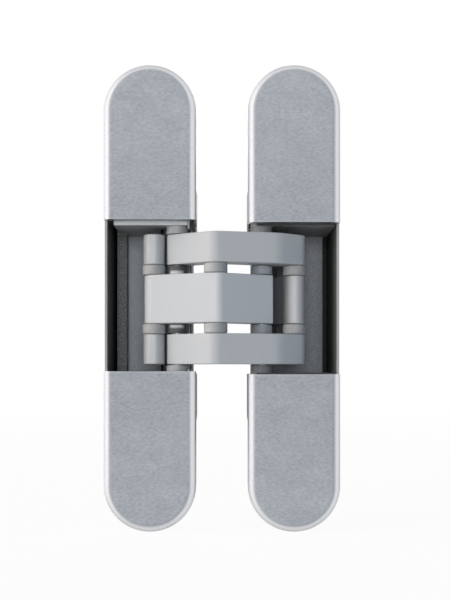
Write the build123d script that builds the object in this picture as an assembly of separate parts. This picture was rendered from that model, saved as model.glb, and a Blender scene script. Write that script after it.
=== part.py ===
from build123d import *
import cmath
import math
import os

# Concealed door hinge with crossed arms, laid open flat as it leaves its box.
# +X runs from the frame half to the door half, +Y runs into the wood, +Z is up.
# The origin is the middle of the frame half's two fixing screws, on the flange's back face, which
# seats on the wood.
# Pin places are given as (offset from the hinge's middle plane, depth behind the cover face).

# Covers and outline of each half
body_length = 111.0
body_width = 22.0
cover_gap = 12.3
cover_thickness = 2.2
cover_bevel = 1.3
cover_bevel_depth = 0.85
cover_edge_break = 0.25
cover_wall = 1.6
cover_hollow = 0.9
cover_tab_width = 4.0
cover_tab_thickness = 1.2
cover_tab_length = 3.6
cover_tab_spread = 16.4
cover_tab_height = 40.0
frame_opening_shift = 0.7

# Housings
housing_inset = 0.12
flange_thickness = 5.0
body_depth = 24.0
deep_length = 78.0
deep_inset = 0.3
back_chamfer = 0.7
pocket_height = 37.6
open_height = 36.0
outer_wall = 0.6
gap_wall = 0.7
gap_wall_inset = 1.23
frame_gap_wall_depth = 7.6
door_gap_wall_depth = 9.4
frame_gap_window = 33.6
tongue_recess_depth = 2.6

# Fixing screws, through the flanges
fixing_spacing = 93.0
fixing_radius = 2.2
fixing_sink_radius = 4.3
fixing_sink_depth = 2.1

# Carriers, the inner castings that hold the arms and slide for adjustment
carrier_fit = 0.1
carrier_side_gap = 0.65
side_flange = 2.44
side_flange_rise = 3.9
floor_depth = 20.2
floor_thickness = 1.6
shelf_thickness = 1.0
shelf_front = 0.4
frame_shelf_inset = 0.85
door_floor_gap = 1.18
tongue_length = 16.0
tongue_width = 12.6
tongue_thickness = 2.0
tongue_slot = 2.4
tongue_side_gap = 0.98
knuckle_radius = 2.62
lug_thickness = 2.0
slot_rim = 0.9

# Clamping screws that hold the tongues
clamp_height = 27.5
clamp_radius = 1.6
clamp_head_radius = 3.2
clamp_head_depth = 1.1
clamp_length = 9.0
clamp_socket = 2.5
clamp_socket_depth = 0.9

# Heights of the arms, stacked about the middle plane
centre_arm_height = 11.7
outer_arm_height = 7.3
arm_gap = 2.5
stack_play = 0.2

# Pins: (offset, depth)
frame_pivot = (-10.9, 5.8)
door_pivot = (9.6, 6.0)
cross_pivot = (-1.5, 0.5)
frame_link_end = (-16.45, 5.4)
door_link_end = (17.65, 6.4)
frame_anchor = (-14.0, 10.4)
door_anchor = (11.5, 11.8)
pivot_pin_radius = 1.6
link_pin_radius = 1.4
anchor_pin_radius = 1.2

# Arms and links
eye_radius = 2.6
cross_radius = 2.55
outer_front = 2.6
outer_overrun = 1.4
outer_face_slope = 11.0
shoulder_reach = 3.9
shoulder_rise = 5.6
shoulder_round = 12.0
centre_front = 3.1
centre_overrun = 1.7
centre_far_round = 3.4
arm_back = 2.0
near_corner = 0.5
ridge_round = 2.6
anchor_eye_radius = 2.0
link_web = 3.2
washer_radius = 2.8

# Fits
running_fit = 0.05
slot_play = 0.08
tab_play = 0.12
washer_play = 0.08
relief_play = 0.3
relief_turn = 0.24
overcut = 1.0

# Turning: gap between closed covers and the links' turn for each degree of the outer arms
closed_gap = 4.5
frame_link_turn = 0.162
door_link_turn = 0.025
slot_steps = 6


# Worked-out places and heights
pitch = body_width + cover_gap
land = -flange_thickness
cover_front = land - cover_thickness
centre_top = centre_arm_height / 2
outer_bottom = centre_top + arm_gap
outer_top = outer_bottom + outer_arm_height
lug_bottom = centre_top + (arm_gap - lug_thickness) / 2
lug_top = lug_bottom + lug_thickness
knuckle_bottom = outer_top + stack_play
shelf_bottom = pocket_height / 2 - carrier_fit - shelf_thickness
shelf_top = shelf_bottom + shelf_thickness
shelf_y = land + shelf_front
floor_y = cover_front + floor_depth
floor_back = floor_y + floor_thickness
housing_back = cover_front + body_depth


def pin_place(offset_and_depth):
    """A pin's place seen from above, as x + y*1j."""
    offset, depth = offset_and_depth
    return complex(pitch / 2 + offset, cover_front + depth)


NEAR_FRAME = pin_place(frame_pivot)
NEAR_DOOR = pin_place(door_pivot)
CROSS = pin_place(cross_pivot)
FAR_FRAME = pin_place(frame_link_end)
FAR_DOOR = pin_place(door_link_end)
ANCHOR_FRAME = pin_place(frame_anchor)
ANCHOR_DOOR = pin_place(door_anchor)


def turned(point, centre, angle):
    return centre + (point - centre) * cmath.exp(1j * angle)


def closing_turns():
    """Turns of the outer arms and the centre arm from open to closed, in radians.

    Closed, the door half has turned by half a turn about the middle of the closed gap, and the crossing
    pin is the third corner of a triangle on the two near pivots, on the side away from the opening.
    """
    middle = complex(pitch / 2, cover_front - closed_gap / 2)
    door_closed = 2 * middle - NEAR_DOOR
    reach_frame = abs(CROSS - NEAR_FRAME)
    reach_door = abs(CROSS - NEAR_DOOR)
    base = abs(door_closed - NEAR_FRAME)
    along = (reach_frame ** 2 - reach_door ** 2 + base ** 2) / (2 * base)
    aside = math.sqrt(max(reach_frame ** 2 - along ** 2, 0.0))
    unit = (door_closed - NEAR_FRAME) / base
    cross_closed = NEAR_FRAME + unit * complex(along, -aside)
    outer = cmath.phase((cross_closed - NEAR_FRAME) / (CROSS - NEAR_FRAME))
    centre = cmath.phase((door_closed - cross_closed) / (NEAR_DOOR - CROSS))
    return outer, centre


OUTER_TURN, CENTRE_TURN = closing_turns()
DOOR_TURN = -math.pi


def frame_anchor_path():
    """Places of a frame link's anchor pin, seen from the frame half, as the hinge closes."""
    places = []
    for step in range(slot_steps + 1):
        share = step / slot_steps
        cross = turned(CROSS, NEAR_FRAME, OUTER_TURN * share)
        link_end = cross + (FAR_FRAME - CROSS) * cmath.exp(1j * CENTRE_TURN * share)
        link_turn = (CENTRE_TURN + frame_link_turn * OUTER_TURN) * share
        places.append(link_end + (ANCHOR_FRAME - FAR_FRAME) * cmath.exp(1j * link_turn))
    return places


def door_anchor_path():
    """Places of the door link's anchor pin, seen from the door half, as the hinge closes."""
    places = []
    for step in range(slot_steps + 1):
        share = step / slot_steps
        centre_back = (CENTRE_TURN - DOOR_TURN) * share
        outer_back = (OUTER_TURN - DOOR_TURN) * share
        cross = turned(CROSS, NEAR_DOOR, centre_back)
        link_end = cross + (FAR_DOOR - CROSS) * cmath.exp(1j * outer_back)
        link_turn = outer_back + door_link_turn * OUTER_TURN * share
        places.append(link_end + (ANCHOR_DOOR - FAR_DOOR) * cmath.exp(1j * link_turn))
    return places


# Small drawing helpers
def disc(place, radius):
    return Pos(place.real, place.imag) * Circle(radius)


def hull(places, radius):
    edges = [edge for place in places for edge in disc(place, radius).edges()]
    return make_hull(edges)


def rectangle(x_low, x_high, y_low, y_high):
    return Pos((x_low + x_high) / 2, (y_low + y_high) / 2) * Rectangle(x_high - x_low, y_high - y_low)


def slab(sketch, low, high):
    """A sketch drawn from above, raised between two heights."""
    return extrude(Plane.XY.offset(low) * sketch, amount=high - low)


def plate(sketch, front, back):
    """A sketch drawn from the front, sunk between two depths."""
    return extrude(Plane.XZ.offset(-front) * sketch, amount=front - back)


def block(x_low, x_high, y_low, y_high, z_low, z_high):
    centre = Pos((x_low + x_high) / 2, (y_low + y_high) / 2, (z_low + z_high) / 2)
    return centre * Box(x_high - x_low, y_high - y_low, z_high - z_low)


def rod(place, radius, low, high):
    return slab(disc(place, radius), low, high)


def sunk_rod(x, z, radius, front, back):
    return plate(Pos(x, z) * Circle(radius), front, back)


def both_ends(solid):
    return solid + mirror(solid, about=Plane.XY)


def upright_slot(length, width):
    return Rot(0, 0, 90) * SlotOverall(length, width)


def to_door(solid):
    """A piece drawn on the frame half, seated on the door half."""
    return Pos(pitch, 0, 0) * mirror(solid, about=Plane.YZ)


# Housings: a flange with round ends, a deep box behind it and an open pocket for the arms
def housing(gap_wall_depth, gap_window):
    width = body_width - 2 * housing_inset
    length = body_length - 2 * housing_inset
    half = width / 2
    deep = upright_slot(deep_length, width - 2 * deep_inset)
    solid = plate(deep, land, housing_back)
    back_edges = solid.faces().sort_by(Axis.Y)[-1].edges()
    solid = chamfer(back_edges, back_chamfer)
    solid += plate(upright_slot(length, width), land, 0)
    gap_face = half - gap_wall_inset
    gap_inner = gap_face - gap_wall
    window = gap_window / 2
    front = land - overcut
    past_gap = half + overcut
    tall_open = open_height / 2
    solid -= block(gap_face, past_gap, front, housing_back + overcut, -tall_open, tall_open)
    tall = pocket_height / 2
    solid -= block(outer_wall - half, gap_inner, front, floor_back, -tall, tall)
    solid -= block(gap_inner - overcut, past_gap, front, cover_front + gap_wall_depth, -window, window)
    recess_top = shelf_top + tongue_length + tongue_side_gap
    recess_half = tongue_width / 2 + tongue_side_gap / 2
    recess_floor = land + tongue_recess_depth
    recess = block(-recess_half, recess_half, front, recess_floor, tall - overcut, recess_top)
    cuts = recess + sunk_rod(0, clamp_height, clamp_radius, land, recess_floor + clamp_length)
    fixing = fixing_spacing / 2
    cuts += sunk_rod(0, fixing, fixing_radius, front, overcut)
    sink = Pos(0, land + fixing_sink_depth / 2, fixing) * Rot(90, 0, 0)
    cuts += sink * Cone(fixing_radius, fixing_sink_radius, fixing_sink_depth)
    cuts += plate(cover_tabs(tab_play), front, overcut)
    return solid - both_ends(cuts)


# Covers: bevelled caps with round outer ends, pressed on with two tabs each
def cover_tabs(play):
    tab = Rectangle(cover_tab_thickness + 2 * play, cover_tab_width + 2 * play)
    spread = cover_tab_spread / 2
    return Pos(-spread, cover_tab_height) * tab + Pos(spread, cover_tab_height) * tab


def upper_cover(shift):
    outline = upright_slot(body_length, body_width)
    straight = cover_thickness - cover_bevel_depth
    slope = math.degrees(math.atan2(cover_bevel, cover_bevel_depth))
    solid = plate(outline, land - straight, land)
    solid += extrude(Plane.XZ.offset(straight - land) * outline, amount=cover_bevel_depth, taper=slope)
    low = open_height / 2 + shift
    solid = solid & block(-body_width, body_width, cover_front - overcut, land + overcut, low, body_length)
    lower_edges = solid.edges().group_by(Axis.Z)[0]
    front_edge = lower_edges.sort_by(Axis.Y)[0]
    solid = chamfer(front_edge, cover_edge_break)
    hollow_half = body_width / 2 - cover_wall
    hollow_top = (body_length - body_width) / 2
    hollow_floor = land - cover_hollow
    solid -= block(-hollow_half, hollow_half, hollow_floor, land + overcut, low + cover_wall, hollow_top)
    return solid + plate(cover_tabs(0), hollow_floor, land + cover_tab_length)


# Carriers: floor, shelves above and below the arms, knuckles, lugs between the arms, clamped tongues
def carrier(x_floor, x_shelf, x_gap, pivot, lug_sketch, shelf_slot, lug_slot, body_x):
    x_low, x_high = min(x_floor, x_gap), max(x_floor, x_gap)
    solid = block(x_low, x_high, floor_y, floor_back, -shelf_top, shelf_top)
    shelf_low, shelf_high = min(x_shelf, x_gap), max(x_shelf, x_gap)
    shelf = block(shelf_low, shelf_high, shelf_y, floor_back, shelf_bottom, shelf_top)
    web_low = max(x_low, pivot.real - knuckle_radius)
    web_high = min(x_high, pivot.real + knuckle_radius)
    boss = disc(pivot, knuckle_radius) + rectangle(web_low, web_high, pivot.imag, floor_y)
    upper = shelf + slab(boss, knuckle_bottom, shelf_top)
    upper += slab(lug_sketch, lug_bottom, lug_top)
    tongue_half = tongue_width / 2
    tongue_end = shelf_top + tongue_length
    upper += block(body_x - tongue_half, body_x + tongue_half, shelf_y, shelf_y + tongue_thickness,
                   shelf_bottom, tongue_end)
    slot_length = 2 * clamp_radius + 2 * tongue_slot
    slot = Pos(body_x, clamp_height) * Rectangle(slot_length, 2 * clamp_radius + 2 * carrier_fit)
    upper -= plate(slot, land, floor_y)
    upper -= rod(pivot, pivot_pin_radius, 0, shelf_top + overcut)
    if shelf_slot is not None:
        upper -= slab(shelf_slot, outer_top, shelf_top + overcut)
    if lug_slot is not None:
        upper -= slab(lug_slot, 0, lug_top + stack_play)
    return solid + both_ends(upper)


def frame_carrier():
    half = body_width / 2 - housing_inset
    x_gap = half - gap_wall_inset - gap_wall - carrier_fit
    x_outer = outer_wall - half + carrier_side_gap
    lug = disc(NEAR_FRAME, knuckle_radius)
    lug += rectangle(NEAR_FRAME.real - knuckle_radius, x_gap, NEAR_FRAME.imag, floor_y)
    slot = hull(frame_anchor_path(), anchor_pin_radius + slot_play)
    solid = carrier(x_outer, x_outer + frame_shelf_inset, x_gap, NEAR_FRAME, lug, slot, None, 0)
    flange_front = floor_y - side_flange_rise
    return solid + block(x_outer, x_outer + side_flange, flange_front, floor_back, -shelf_top, shelf_top)


def door_carrier():
    half = body_width / 2 - housing_inset
    x_gap = pitch - (half - gap_wall_inset - gap_wall - carrier_fit)
    x_outer = pitch + half - outer_wall - carrier_fit
    path = door_anchor_path()
    slot = hull(path, anchor_pin_radius + slot_play)
    rim = hull(path, anchor_pin_radius + slot_play + slot_rim)
    lug = disc(NEAR_DOOR, knuckle_radius) + rim
    lug += rectangle(x_gap, NEAR_DOOR.real + knuckle_radius, NEAR_DOOR.imag, ANCHOR_DOOR.imag)
    lug += rectangle(x_gap, ANCHOR_DOOR.real + knuckle_radius, ANCHOR_DOOR.imag, floor_y)
    return carrier(x_outer - door_floor_gap, x_outer, x_gap, NEAR_DOOR, lug, None, slot, pitch)


# Arms: bent bars with a soft ridge over the crossing pin, a square near end and a rounded far end
def front_normal(direction):
    normal = direction * 1j
    return normal if normal.imag < 0 else -normal


def meeting_point(point, direction, other, other_direction):
    cross = (direction.conjugate() * other_direction).imag
    reach = ((other - point).conjugate() * other_direction).imag / cross
    return point + direction * reach


def rounded_face(corners, rounds):
    face = make_face(Polyline(*[(c.real, c.imag) for c in corners], close=True))
    for corner, size in zip(corners, rounds):
        if size > 0:
            vertex = face.vertices().sort_by_distance((corner.real, corner.imag, 0))[0]
            face = fillet(vertex, size)
    return face


def arm_ways(near, far):
    """Directions along the near and far stretches of an arm, and their normals towards the front."""
    near_way = (CROSS - near) / abs(CROSS - near)
    far_way = (far - CROSS) / abs(far - CROSS)
    return near_way, front_normal(near_way), far_way, front_normal(far_way)


def outer_arm_profile():
    """A bent bar whose front face runs flatter than its pins and rolls back to the far eye at a shoulder."""
    near_way, near_out, far_way, far_out = arm_ways(NEAR_FRAME, FAR_DOOR)
    near_end = NEAR_FRAME - outer_overrun * near_way
    shoulder = FAR_DOOR - complex(shoulder_reach, shoulder_rise)
    face_way = cmath.exp(1j * math.radians(outer_face_slope))
    ridge = meeting_point(NEAR_FRAME + outer_front * near_out, near_way, shoulder, face_way)
    roll = cmath.phase(FAR_DOOR - shoulder) - math.asin(eye_radius / abs(FAR_DOOR - shoulder))
    touch = FAR_DOOR + eye_radius * cmath.exp(1j * (roll - math.pi / 2))
    bend = meeting_point(NEAR_FRAME - arm_back * near_out, near_way, FAR_DOOR - arm_back * far_out, far_way)
    corners = [near_end + outer_front * near_out, ridge, shoulder, touch,
               FAR_DOOR - arm_back * far_out, bend, near_end - arm_back * near_out]
    face = rounded_face(corners, [near_corner, ridge_round, shoulder_round, 0, 0, ridge_round, near_corner])
    return face + disc(NEAR_FRAME, eye_radius) + disc(CROSS, cross_radius) + disc(FAR_DOOR, eye_radius)


def centre_arm_profile():
    """A bent bar with a square near end on the door side and a rounded far end over the frame links."""
    near_way, near_out, far_way, far_out = arm_ways(NEAR_DOOR, FAR_FRAME)
    near_end = NEAR_DOOR - centre_overrun * near_way
    far_end = FAR_FRAME + eye_radius * far_way
    far_front = FAR_FRAME + eye_radius * far_out
    ridge = meeting_point(NEAR_DOOR + centre_front * near_out, near_way, far_front, far_way)
    bend = meeting_point(NEAR_DOOR - arm_back * near_out, near_way, FAR_FRAME - arm_back * far_out, far_way)
    corners = [near_end + centre_front * near_out, ridge, far_end + eye_radius * far_out,
               far_end - arm_back * far_out, bend, near_end - arm_back * near_out]
    rounds = [near_corner, ridge_round, centre_far_round, near_corner, ridge_round, near_corner]
    return rounded_face(corners, rounds) + disc(NEAR_DOOR, eye_radius) + disc(CROSS, cross_radius)


def outer_arm():
    relief = hull([turned(NEAR_DOOR, CROSS, turn) for turn in (0, relief_turn / 2, relief_turn)],
                  pivot_pin_radius + relief_play)
    face = outer_arm_profile() - relief
    face -= disc(NEAR_FRAME, pivot_pin_radius + running_fit)
    face -= disc(CROSS, pivot_pin_radius)
    face -= disc(FAR_DOOR, link_pin_radius)
    return slab(face, outer_bottom, outer_top)


def centre_arm():
    face = centre_arm_profile()
    face -= disc(NEAR_DOOR, pivot_pin_radius + running_fit)
    face -= disc(CROSS, pivot_pin_radius + running_fit)
    face -= disc(FAR_FRAME, link_pin_radius)
    return slab(face, -centre_top, centre_top)


# Links: short two-eyed levers from the arms' far ends back to the anchor pins
def link_profile(end, anchor):
    face = disc(end, eye_radius) + disc(anchor, anchor_eye_radius) + hull([end, anchor], link_web / 2)
    face -= disc(end, link_pin_radius + running_fit)
    return face - disc(anchor, anchor_pin_radius)


def washers(place, pin_radius):
    ring = disc(place, washer_radius) - disc(place, pin_radius + running_fit)
    return both_ends(slab(ring, centre_top + washer_play, outer_bottom - washer_play))


# Clamping screws: hexagon-socket pan heads on the carriers' tongues
def clamp_screws(body_x):
    seat = shelf_y
    screw = sunk_rod(body_x, clamp_height, clamp_head_radius, seat - clamp_head_depth, seat)
    screw += sunk_rod(body_x, clamp_height, clamp_radius, seat, land + clamp_length)
    socket = Pos(body_x, clamp_height) * RegularPolygon(clamp_socket / 2, 6, major_radius=False)
    screw -= plate(socket, seat - clamp_head_depth - overcut, seat - clamp_head_depth + clamp_socket_depth)
    return both_ends(screw)


def lower(solid):
    return mirror(solid, about=Plane.XY)


outer = outer_arm()
frame_link = slab(link_profile(FAR_FRAME, ANCHOR_FRAME), outer_bottom, outer_top)
frame_pivot_pin = rod(NEAR_FRAME, pivot_pin_radius, lug_bottom, shelf_top)
frame_anchor_pin = rod(ANCHOR_FRAME, anchor_pin_radius, outer_bottom, shelf_top)

pieces = {
    "frame_housing": housing(frame_gap_wall_depth, frame_gap_window),
    "frame_carrier": frame_carrier(),
    "frame_cover_upper": upper_cover(frame_opening_shift),
    "frame_cover_lower": lower(upper_cover(-frame_opening_shift)),
    "frame_clamp_screws": clamp_screws(0),
    "frame_pivot_pin_upper": frame_pivot_pin,
    "frame_pivot_pin_lower": lower(frame_pivot_pin),
    "door_housing": to_door(housing(door_gap_wall_depth, pocket_height)),
    "door_carrier": door_carrier(),
    "door_cover_upper": to_door(upper_cover(0)),
    "door_cover_lower": to_door(lower(upper_cover(0))),
    "door_clamp_screws": clamp_screws(pitch),
    "door_pivot_pin": rod(NEAR_DOOR, pivot_pin_radius, -shelf_top, shelf_top),
    "outer_arm_upper": outer,
    "outer_arm_lower": lower(outer),
    "centre_arm": centre_arm(),
    "centre_pin": rod(CROSS, pivot_pin_radius, -outer_top, outer_top),
    "centre_washers": washers(CROSS, pivot_pin_radius),
    "frame_link_upper": frame_link,
    "frame_link_lower": lower(frame_link),
    "frame_link_pin": rod(FAR_FRAME, link_pin_radius, -outer_top, outer_top),
    "frame_link_washers": washers(FAR_FRAME, link_pin_radius),
    "frame_anchor_pin_upper": frame_anchor_pin,
    "frame_anchor_pin_lower": lower(frame_anchor_pin),
    "door_link": slab(link_profile(FAR_DOOR, ANCHOR_DOOR), -centre_top, centre_top),
    "door_link_pin": rod(FAR_DOOR, link_pin_radius, -outer_top, outer_top),
    "door_link_washers": washers(FAR_DOOR, link_pin_radius),
    "door_anchor_pin": rod(ANCHOR_DOOR, anchor_pin_radius, -lug_top, lug_top),
}

os.makedirs("parts", exist_ok=True)
for name, piece in pieces.items():
    export_step(piece, f"parts/{name}.step")
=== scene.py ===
import cmath
import math

import bmesh
import bpy
import numpy as np
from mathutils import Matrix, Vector


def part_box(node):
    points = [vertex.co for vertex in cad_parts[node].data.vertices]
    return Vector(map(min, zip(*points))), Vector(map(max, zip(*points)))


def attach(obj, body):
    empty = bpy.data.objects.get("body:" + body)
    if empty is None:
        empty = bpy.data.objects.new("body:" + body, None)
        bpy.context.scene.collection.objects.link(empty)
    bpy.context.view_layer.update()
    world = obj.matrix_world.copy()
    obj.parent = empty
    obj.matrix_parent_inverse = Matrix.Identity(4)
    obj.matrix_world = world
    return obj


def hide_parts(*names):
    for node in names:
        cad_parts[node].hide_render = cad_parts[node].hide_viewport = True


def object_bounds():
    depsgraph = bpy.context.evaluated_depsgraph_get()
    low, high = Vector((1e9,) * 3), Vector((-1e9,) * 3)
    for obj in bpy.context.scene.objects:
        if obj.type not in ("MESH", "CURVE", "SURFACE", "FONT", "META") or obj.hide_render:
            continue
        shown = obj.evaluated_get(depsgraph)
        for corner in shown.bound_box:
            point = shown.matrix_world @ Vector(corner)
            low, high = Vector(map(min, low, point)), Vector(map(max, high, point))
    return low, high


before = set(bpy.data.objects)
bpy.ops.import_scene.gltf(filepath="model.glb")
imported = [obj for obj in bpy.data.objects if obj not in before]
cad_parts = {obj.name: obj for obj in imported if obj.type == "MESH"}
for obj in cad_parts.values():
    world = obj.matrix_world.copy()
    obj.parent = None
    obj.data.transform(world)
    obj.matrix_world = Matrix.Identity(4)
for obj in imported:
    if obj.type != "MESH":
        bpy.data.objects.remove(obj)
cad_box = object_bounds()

# Housings: two zinc die-castings, one let into the door frame and one into the edge of the door.
# Each has a round-ended flange and a deep box behind it that takes the folded arms.
# They are coated matt black, and the rims of the open pocket are ground bare.
HINGE_MIDDLE_X = (cad_box[0].x + cad_box[1].x) / 2
HOUSING_BLACK = (0.016, 0.017, 0.0165, 1)
HOUSING_CHARCOAL = (0.042, 0.044, 0.042, 1)
HOUSING_WORN = (0.07, 0.07, 0.07, 1)
HOUSING_PAINTED_LIGHT = (0.11, 0.113, 0.11, 1)
HOUSING_BARE = (0.385, 0.39, 0.39, 1)
PEBBLE_SCALE = (2600, 2600, 2600)
PEBBLE_TONES = ((0.35, HOUSING_BLACK), (0.7, HOUSING_CHARCOAL))
PEBBLE_BUMP = (0.35, 0.00005)
RUB_SCALE = (700, 700, 700)
RUB_SPREAD = (0.4, 0.6)
EDGE_SOFT = 0.00018
EDGE_BEND = (0.995, 0.85)
# Places on the housings, each as (where it starts, where it is full),
# by depth y, by height z, by reach from the hinge's middle, or by x.
RIM_Y = (-0.00475, -0.00490)
RIM_REACH = (0.02730, 0.02740)
PAINTED_LIGHT_Y = (0.0060, -0.0048)
PAINTED_LIGHT_REACH = (0.02760, 0.02750)
POCKET_TOP_Z = (0.0190, 0.0189)
GAP_FRONT_Y = (0.0046, 0.0042)
FRAME_GAP_WALL_X = (0.0089, 0.0110)
FRAME_GAP_EDGE = (0.0, 0.03)
# The last of these tones is the painted light of the pocket's walls.
FRAME_GAP_TONES = ((0.19, HOUSING_BARE), (0.24, HOUSING_BLACK), (0.68, HOUSING_BLACK), (0.74, HOUSING_PAINTED_LIGHT))
DOOR_GAP_WALL_X = (0.02545, 0.02540)
DOOR_GAP_END_Z = (0.0158, 0.0160)
DOOR_GAP_TOP_Z = (0.01805, 0.0180)


def start_finish(name, roughness, metallic=0.0, specular=0.5):
    """A new material with constants on its shader; returns it, its tree, shader and object coordinates."""
    material = bpy.data.materials.new(name)
    material.use_nodes = True
    tree = material.node_tree
    shader = tree.nodes["Principled BSDF"]
    shader.inputs["Roughness"].default_value = roughness
    shader.inputs["Metallic"].default_value = metallic
    shader.inputs["Specular IOR Level"].default_value = specular
    place = tree.nodes.new("ShaderNodeTexCoord").outputs["Object"]
    return material, tree, shader, place


def add_node(tree, kind, inputs, **settings):
    """Adds a shader node; each input is a constant or the output of an earlier node."""
    node = tree.nodes.new("ShaderNode" + kind)
    for key, value in settings.items():
        setattr(node, key, value)
    for key, value in inputs.items():
        if isinstance(value, bpy.types.NodeSocket):
            tree.links.new(value, node.inputs[key])
        else:
            node.inputs[key].default_value = value
    return node


def stretched_noise(tree, place, scale, detail=2.0, roughness=0.5):
    """Noise with its own scale along x, y and z, in features per metre."""
    spread = add_node(tree, "VectorMath", {0: place, 1: scale}, operation="MULTIPLY").outputs["Vector"]
    inputs = {"Vector": spread, "Scale": 1.0, "Detail": detail, "Roughness": roughness}
    return add_node(tree, "TexNoise", inputs).outputs["Fac"]


def ramp(tree, value, *stops):
    """Colour along a value, through (position, colour) stops."""
    node = add_node(tree, "ValToRGB", {"Fac": value})
    elements = node.color_ramp.elements
    for position, colour in stops[2:]:
        elements.new(position)
    for element, (position, colour) in zip(elements, sorted(stops)):
        element.position = position
        element.color = colour
    return node.outputs["Color"]


def blend_colours(tree, share, first, second):
    """The first colour where the share is 0, the second where it is 1."""
    return add_node(tree, "Mix", {0: share, 6: first, 7: second}, data_type="RGBA").outputs[2]


def span(tree, value, start, full, low=0.0, high=1.0):
    """Maps a value linearly, low at the start and high where it is full, held beyond both."""
    inputs = {"Value": value, "From Min": start, "From Max": full, "To Min": low, "To Max": high}
    return add_node(tree, "MapRange", inputs).outputs["Result"]


def both(tree, first, second):
    """Share of a place that lies in two masks at once."""
    return add_node(tree, "Math", {0: first, 1: second}, operation="MULTIPLY").outputs[0]


def far_from(tree, value, middle):
    """Distance of a coordinate from a middle value."""
    offset = add_node(tree, "Math", {0: value, 1: middle}, operation="SUBTRACT").outputs[0]
    return add_node(tree, "Math", {0: offset}, operation="ABSOLUTE").outputs[0]


def soft_edges(tree, shader, height, strength, distance):
    """Bump over normals that are rounded off at the casting's edges; returns a mask of those edges."""
    rounded = add_node(tree, "Bevel", {"Radius": EDGE_SOFT}, samples=4).outputs["Normal"]
    flat = add_node(tree, "NewGeometry", {}).outputs["Normal"]
    along = add_node(tree, "VectorMath", {0: rounded, 1: flat}, operation="DOT_PRODUCT").outputs["Value"]
    bump = {"Height": height, "Strength": strength, "Distance": distance, "Normal": rounded}
    tree.links.new(add_node(tree, "Bump", bump).outputs["Normal"], shader.inputs["Normal"])
    return span(tree, along, *EDGE_BEND)


def black_coat(name, bare_gap_edge=False, grey_gap_ends=False):
    """Pebbled black coat, rubbed along its edges, bare on the outer rim, with painted light on the pocket's
    walls towards the mouth.
    """
    material, tree, shader, place = start_finish(name, roughness=0.6, specular=0.18)
    pebble = stretched_noise(tree, place, PEBBLE_SCALE, detail=3.0)
    edges = soft_edges(tree, shader, pebble, *PEBBLE_BUMP)
    rubbed = span(tree, stretched_noise(tree, place, RUB_SCALE, detail=4.0), *RUB_SPREAD)
    colour = blend_colours(tree, both(tree, edges, rubbed), ramp(tree, pebble, *PEBBLE_TONES), HOUSING_WORN)
    sides = add_node(tree, "SeparateXYZ", {"Vector": place}).outputs
    reach = far_from(tree, sides["X"], HINGE_MIDDLE_X)
    height = far_from(tree, sides["Z"], 0.0)
    pocket = span(tree, height, *POCKET_TOP_Z)
    # Painted light: the pocket's walls are painted lighter from deep inside towards the mouth, standing in
    # for light that falls in there.
    painted_light = both(tree, span(tree, sides["Y"], *PAINTED_LIGHT_Y), span(tree, reach, *PAINTED_LIGHT_REACH))
    colour = blend_colours(tree, both(tree, pocket, painted_light), colour, HOUSING_PAINTED_LIGHT)
    rim = both(tree, span(tree, sides["Y"], *RIM_Y), span(tree, reach, *RIM_REACH))
    colour = blend_colours(tree, both(tree, pocket, rim), colour, HOUSING_BARE)
    front = span(tree, sides["Y"], *GAP_FRONT_Y)
    if bare_gap_edge:
        across = span(tree, sides["X"], *FRAME_GAP_WALL_X)
        edge = both(tree, both(tree, front, pocket), span(tree, across, *FRAME_GAP_EDGE))
        colour = blend_colours(tree, edge, colour, ramp(tree, across, *FRAME_GAP_TONES))
    if grey_gap_ends:
        opening = both(tree, front, span(tree, height, *DOOR_GAP_TOP_Z))
        ends = both(tree, span(tree, height, *DOOR_GAP_END_Z), span(tree, sides["X"], *DOOR_GAP_WALL_X))
        colour = blend_colours(tree, both(tree, opening, ends), colour, HOUSING_BARE)
    tree.links.new(colour, shader.inputs["Base Color"])
    return material


def dress(node, finish):
    """Gives a CAD node its finish, in place of the plain one."""
    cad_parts[node].data.materials[0] = finish


dress("frame_housing", black_coat("frame_housing_coat", bare_gap_edge=True))
dress("door_housing", black_coat("door_housing_coat", grey_gap_ends=True))

# Carriers: grey die-castings that slide inside the housings for adjustment and are clamped by their tongues.
# Each has a floor, two shelves, bored knuckles for the near pins and lugs between the arms. The coat is a
# speckled grey and the floor is milled clean. The frame carrier's lugs carry a band of painted highlight, and
# the shelves' front edges carry painted light on the frame carrier and painted shade on the door carrier.
SPECKLE_SCALE = (4200, 4200, 4200)
SPECKLE_BUMP = (0.3, 0.00004)
MILLED_FLOOR_Y = (0.0128, 0.0129)
KNUCKLE_REACH = (0.00285, 0.00275)
KNUCKLE_BACK = (0.0006, 0.0004)
KNUCKLE_FOOT_Z = (0.0150, 0.0152)
LUG_HIGHLIGHT_X = (0.0019, 0.0013)
LUG_HIGHLIGHT_Z = (0.0071, 0.0066)
PAINTED_SHELF_EDGE_Y = (-0.00450, -0.00456)
SHELF_EDGE_Z = (0.01760, 0.01765)


def pin_axis(node):
    """Middle of an upright pin's section, from its box, as x + y*1j."""
    low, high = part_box(node)
    return complex(low.x + high.x, low.y + high.y) / 2


def reach_from(tree, place, axis):
    """Distance of a place from an upright axis."""
    flat = add_node(tree, "VectorMath", {0: place, 1: (1, 1, 0)}, operation="MULTIPLY").outputs["Vector"]
    foot = (axis.real, axis.imag, 0)
    return add_node(tree, "VectorMath", {0: flat, 1: foot}, operation="DISTANCE").outputs["Value"]


def grey(level, blue=0.0):
    """A grey, tinted towards blue by a small share."""
    return (level * (1 - blue), level, level * (1 + blue), 1)


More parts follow.
